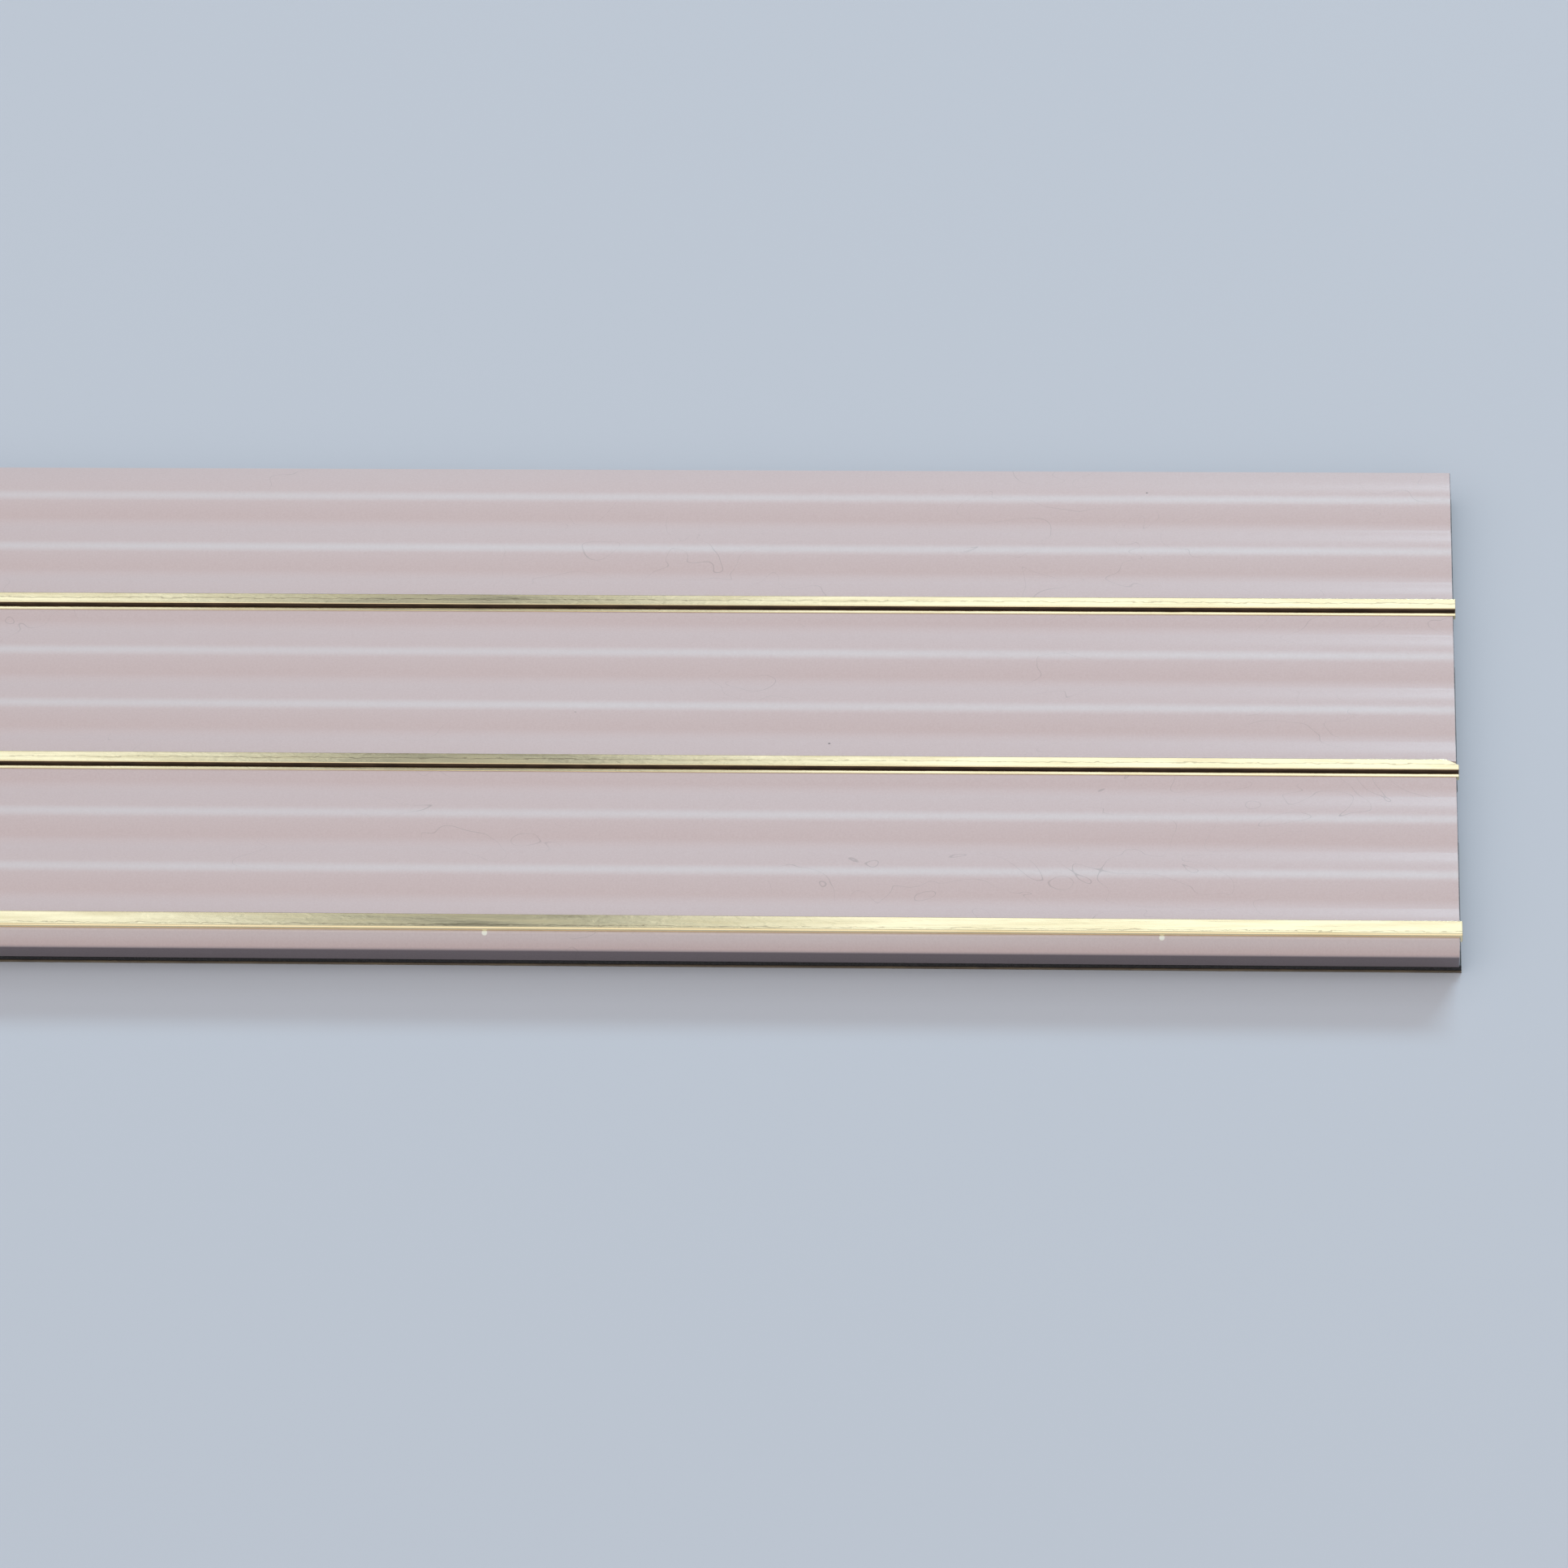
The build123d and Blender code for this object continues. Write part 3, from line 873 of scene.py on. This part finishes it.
def sweep(name, ring, half_length, chamfer, spacing, shape=None, wander=PROFILE_WANDER):
    """Closed mesh of a ring swept along the strip, with chamfered, slightly uneven sawn ends.

    shape, if given, takes a position along the strip and the ring, and returns the ring there.
    Faces of the sawn ends, chamfers included, get material slot 1.
    """
    ring = ring if ring_area(ring) > 0 else list(reversed(ring))
    shape = shape or (lambda x, points: points)
    places = stations(half_length, chamfer, spacing)
    bm = bmesh.new()
    loops = []
    for x in places:
        loops.append([bm.verts.new((x, y, z)) for y, z in shape(x, ring)])
    for side, at in ((-1, 0), (1, -1)):
        outer = shape(places[at], ring)
        inner = inset_ring(outer, chamfer)
        cap = [
            bm.verts.new((side * (half_length - saw_wander(y, z, side * 3.0, wander)), y, z))
            for y, z in inner
        ]
        if side < 0:
            loops.insert(0, cap)
        else:
            loops.append(cap)
    count = len(ring)
    for index, (near, far) in enumerate(zip(loops, loops[1:])):
        is_chamfer = index in (0, len(loops) - 2)
        for i in range(count):
            j = (i + 1) % count
            face = bm.faces.new((near[i], near[j], far[j], far[i]))
            face.material_index = 1 if is_chamfer else 0
    for cap in (loops[0], loops[-1]):
        outline = [Vector((0.0, v.co.y, v.co.z)) for v in cap]
        for triangle in geometry.tessellate_polygon([outline]):
            face = bm.faces.new([cap[i] for i in triangle])
            face.material_index = 1
    bmesh.ops.recalc_face_normals(bm, faces=bm.faces)
    for face in bm.faces:
        face.smooth = True
    for edge in bm.edges:
        edge.smooth = len(edge.link_faces) == 2 and edge.calc_face_angle(0.0) < SMOOTH_ANGLE
    mesh = bpy.data.meshes.new(name)
    bm.to_mesh(mesh)
    bm.free()
    return new_object(name, mesh)


def heading(azimuth, elevation):
    """Unit vector at an azimuth from +Y towards +X and an elevation, both in radians."""
    level = math.cos(elevation)
    return Vector((math.sin(azimuth) * level, math.cos(azimuth) * level, math.sin(elevation)))


def place_piece(piece, node, slot, *materials):
    """Materials, body and replaced CAD node of one finished piece. The slot argument is not used."""
    for material in materials:
        piece.data.materials.append(material)
    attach(piece, BODY)
    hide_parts(node)


# ---------------------------------------------------------------- operators


class THRESHOLD_OT_profile(bpy.types.Operator):
    """Build the reeded aluminium profile"""

    bl_idname = "threshold.profile"
    bl_label = "Carrier Profile"

    def execute(self, context):
        sizes, colours = context.scene.strip_sizes, context.scene.strip_colours
        half_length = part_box("carrier_profile")[1].x - sizes.end_setback
        ring = profile_section(sizes)
        piece = sweep("reeded_profile", ring, half_length, sizes.cut_chamfer, PROFILE_SPACING)
        place_piece(
            piece,
            "carrier_profile",
            CARRIER_SLOT,
            anodised_aluminium(colours, sizes),
            sawn_metal("Aluminium_sawn", colours.sawn, colours.sawn_dark),
        )
        return {"FINISHED"}


class THRESHOLD_OT_trims(bpy.types.Operator):
    """Build the three brass trims"""

    bl_idname = "threshold.trims"
    bl_label = "Brass Trims"

    def execute(self, context):
        sizes, colours = context.scene.strip_sizes, context.scene.strip_colours
        face = polished_brass(colours, sizes)
        end = sawn_metal("Brass_sawn", colours.brass_tarnish, colours.brass_slot)
        slot = brass_slot(colours)
        for place in PLACES:
            node = f"{place}_trim_strip"
            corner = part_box(node)[1]
            shape = self.nipped_corner(corner, sizes) if place == "middle" else None
            piece = sweep(
                f"{place}_brass_trim",
                trim_section(place, sizes),
                corner.x,
                sizes.cut_chamfer / 2,
                TRIM_SPACING,
                shape,
                TRIM_WANDER,
            )
            if place in BEADED_TRIMS:
                self.darken_slot(piece, node, sizes)
            place_piece(piece, node, TRIM_SLOT, face, end, slot)
        return {"FINISHED"}

    def nipped_corner(self, corner, sizes):
        """Shape that takes the rear corner off a trim's head at its +X end."""

        def shape(x, ring):
            share = (x - (corner.x - sizes.nick_length)) / sizes.nick_length
            if share <= 0:
                return ring
            limit = corner.y - sizes.nick_depth * share
            return [(min(y, limit), z) for y, z in ring]

        return shape

    def darken_slot(self, piece, node, sizes):
        """Give the walls and floor of the gap between bead and head the slot's material: painted shade."""
        low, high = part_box(node)
        bead_rear = low.y + sizes.bead_width
        head_front = high.y - sizes.head_width
        lowest = high.z - sizes.gap_depth - 0.01 * MM
        slack = 0.001 * MM
        for face in piece.data.polygons:
            _, y, z = face.center
            in_gap = bead_rear - slack < y < head_front + slack
            if face.material_index == 0 and in_gap and z > lowest:
                face.material_index = 2


class THRESHOLD_OT_tapes(bpy.types.Operator):
    """Build the foam tapes and their release liners"""

    bl_idname = "threshold.tapes"
    bl_label = "Tapes and Liners"

    def execute(self, context):
        colours = context.scene.strip_colours
        foam = closed_cell_foam(colours)
        glue = acrylic_adhesive(colours)
        paper = glassine_paper(colours)
        for place in PLACES:
            self.foam_tape(place, foam, glue)
            self.release_liner(place, paper)
        return {"FINISHED"}

    def foam_tape(self, place, foam, glue):
        """Foam band with slightly bulging cut sides and an adhesive layer above and below."""
        node = f"{place}_foam_tape"
        ring = band_section(node, TAPE_BULGE, TAPE_CORNER)
        half_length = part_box(node)[1].x
        piece = sweep(
            f"{place}_tape", ring, half_length, TAPE_CHAMFER, TAPE_SPACING, wander=TAPE_WANDER
        )
        place_piece(piece, node, TAPE_SLOT, foam, foam, glue)
        for face in piece.data.polygons:
            if abs(face.normal.z) > 0.9:
                face.material_index = 2

    def release_liner(self, place, paper):
        """Thin paper band under one tape."""
        node = f"{place}_release_liner"
        ring = band_section(node, 0.0, LINER_EDGE)
        half_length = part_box(node)[1].x
        piece = sweep(
            f"{place}_liner", ring, half_length, LINER_EDGE, TAPE_SPACING, wander=LINER_WANDER
        )
        place_piece(piece, node, LINER_SLOT, paper, paper)


class THRESHOLD_OT_stage(bpy.types.Operator):
    """Set the floor, the soft light and the camera"""

    bl_idname = "threshold.stage"
    bl_label = "Stage"

    def execute(self, context):
        self.floor(context.scene.strip_colours)
        self.sky(context.scene)
        self.window()
        self.camera(context.scene)
        context.scene.view_settings.view_transform = "Standard"
        return {"FINISHED"}

    def floor(self, colours):
        """Plain pale floor under the strip."""
        half = FLOOR_HALF
        mesh = bpy.data.meshes.new("floor")
        corners = [(-half, -half, 0), (half, -half, 0), (half, half, 0), (-half, half, 0)]
        mesh.from_pydata(corners, [], [(0, 1, 2, 3)])
        made = new_object("floor", mesh)
        made.location.z = CAD_BOX[0].z - FLOOR_DROP
        mesh.materials.append(matt_floor(colours))

    def sky(self, scene):
        """Studio dome: a broad softbox tilted to the front, and a bright strip behind with a dim upright."""
        world = bpy.data.worlds.new("Studio_dome")
        scene.world = world
        world.use_nodes = True
        tree = world.node_tree
        tree.nodes.clear()
        direction = add_node(tree, "ShaderNodeTexCoord").outputs["Generated"]
        parts = add_node(tree, "ShaderNodeSeparateXYZ", {"Vector": direction})
        elevation = add_node(tree, "ShaderNodeMath", {0: parts.outputs["Z"]}, operation="ARCSINE")
        azimuth = add_node(
            tree, "ShaderNodeMath", {0: parts.outputs["X"], 1: parts.outputs["Y"]}, operation="ARCTAN2"
        )
        tilt = math.radians(SOFTBOX_TILT)
        facing = add_node(
            tree,
            "ShaderNodeVectorMath",
            {0: direction, 1: (0.0, -math.sin(tilt), math.cos(tilt))},
            operation="DOT_PRODUCT",
        ).outputs["Value"]
        softbox = add_node(
            tree,
            "ShaderNodeMapRange",
            {
                "Value": facing,
                "From Min": math.cos(math.radians(SOFTBOX_EDGE)),
                "From Max": math.cos(math.radians(SOFTBOX_CORE)),
            },
            interpolation_type="SMOOTHSTEP",
        )
        humps = []
        for angle_node, centre, half_width in (
            (elevation, STRIP_ELEVATION, STRIP_HALF_HEIGHT),
            (azimuth, 0.0, STRIP_HALF_WIDTH),
            (azimuth, UPRIGHT_AZIMUTH, UPRIGHT_HALF_WIDTH),
            (elevation, STRIP_ELEVATION, UPRIGHT_HALF_HEIGHT),
        ):
            off = add_node(
                tree, "ShaderNodeMath", {0: angle_node, 1: math.radians(centre)}, operation="SUBTRACT"
            )
            off = add_node(tree, "ShaderNodeMath", {0: off}, operation="ABSOLUTE")
            humps.append(
                add_node(
                    tree,
                    "ShaderNodeMapRange",
                    {"Value": off, "From Max": math.radians(half_width), **FALLING},
                    interpolation_type="SMOOTHSTEP",
                )
            )
        strip = add_node(tree, "ShaderNodeMath", {0: humps[0], 1: humps[1]}, operation="MULTIPLY")
        upright = add_node(tree, "ShaderNodeMath", {0: humps[2], 1: humps[3]}, operation="MULTIPLY")
        shade = add_node(tree, "ShaderNodeMath", {0: upright, 1: UPRIGHT_SHADE}, operation="MULTIPLY")
        open_share = add_node(tree, "ShaderNodeMath", {0: 1.0, 1: shade}, operation="SUBTRACT")
        horizon = add_node(
            tree,
            "ShaderNodeMapRange",
            {
                "Value": elevation,
                "From Max": math.radians(HORIZON_TOP),
                "To Min": HORIZON_LEVEL,
            },
            interpolation_type="SMOOTHSTEP",
        )
        level = add_node(tree, "ShaderNodeMath", {0: open_share, 1: horizon}, operation="MULTIPLY")
        dome = add_node(
            tree, "ShaderNodeMix", {0: softbox, 6: WALL_LIGHT, 7: SOFTBOX_LIGHT}, data_type="RGBA"
        )
        bright = add_node(
            tree, "ShaderNodeMix", {0: strip, 6: dome.outputs[2], 7: STRIP_LIGHT}, data_type="RGBA"
        )
        light = add_node(tree, "ShaderNodeBackground", {"Color": bright.outputs[2], "Strength": level})
        add_node(tree, "ShaderNodeOutputWorld", {"Surface": light})

    def window(self):
        """Low bluish window behind the strip and to its right, which throws the soft shadow."""
        light = bpy.data.lights.new("window", "AREA")
        light.shape = "RECTANGLE"
        light.size = WINDOW_WIDTH
        light.size_y = WINDOW_HEIGHT
        light.energy = WINDOW_POWER
        light.color = WINDOW_COLOUR
        target = Vector((CAD_BOX[1].x - CAMERA_FROM_END, 0.0, CAD_BOX[1].z))
        offset = heading(math.radians(WINDOW_AZIMUTH), math.radians(WINDOW_ELEVATION))
        made = new_object("window", light)
        made.location = target + offset * WINDOW_DISTANCE
        made.rotation_euler = offset.to_track_quat("Z", "Y").to_euler()

    def camera(self, scene):
        """Camera close to the strip's +X end, looking down across it with a long lens."""
        elevation, turn, roll = (math.radians(a) for a in (CAMERA_ELEVATION, CAMERA_TURN, CAMERA_ROLL))
        reed_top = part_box("carrier_profile")[1].z
        target = Vector((CAD_BOX[1].x - CAMERA_FROM_END, CAMERA_ACROSS, reed_top))
        forward = heading(-turn, -elevation)
        right = forward.cross(Vector((0, 0, 1))).normalized()
        up = right.cross(forward)
        rolled_right = right * math.cos(roll) + up * math.sin(roll)
        rolled_up = up * math.cos(roll) - right * math.sin(roll)
        axes = Matrix((rolled_right, rolled_up, -forward)).transposed()
        data = bpy.data.cameras.new("camera")
        data.sensor_width = CAMERA_SENSOR
        data.lens = CAMERA_LENS
        data.clip_start, data.clip_end = CAMERA_CLIP
        made = new_object("camera", data)
        made.matrix_world = Matrix.Translation(target - forward * CAMERA_DISTANCE) @ axes.to_4x4()
        scene.camera = made


OPERATORS = (THRESHOLD_OT_profile, THRESHOLD_OT_trims, THRESHOLD_OT_tapes, THRESHOLD_OT_stage)


class THRESHOLD_PT_sidebar(bpy.types.Panel):
    """Sizes, colours and build steps of the threshold strip"""

    bl_idname = "THRESHOLD_PT_sidebar"
    bl_label = "Threshold Strip"
    bl_space_type = "VIEW_3D"
    bl_region_type = "UI"
    bl_category = "Threshold Strip"

    def draw(self, context):
        layout = self.layout
        for operator in OPERATORS:
            layout.operator(operator.bl_idname)
        for group in (context.scene.strip_sizes, context.scene.strip_colours):
            box = layout.box()
            for name in group.__annotations__:
                box.prop(group, name)


CLASSES = (StripSizes, StripColours, *OPERATORS, THRESHOLD_PT_sidebar)


def register():
    for cls in CLASSES:
        bpy.utils.register_class(cls)
    bpy.types.Scene.strip_sizes = PointerProperty(type=StripSizes)
    bpy.types.Scene.strip_colours = PointerProperty(type=StripColours)


def unregister():
    del bpy.types.Scene.strip_colours
    del bpy.types.Scene.strip_sizes
    for cls in reversed(CLASSES):
        bpy.utils.unregister_class(cls)


def main():
    """Build every piece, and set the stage."""
    register()
    bpy.ops.threshold.profile()
    bpy.ops.threshold.trims()
    bpy.ops.threshold.tapes()
    bpy.ops.threshold.stage()


if __name__ == "__main__":
    main()
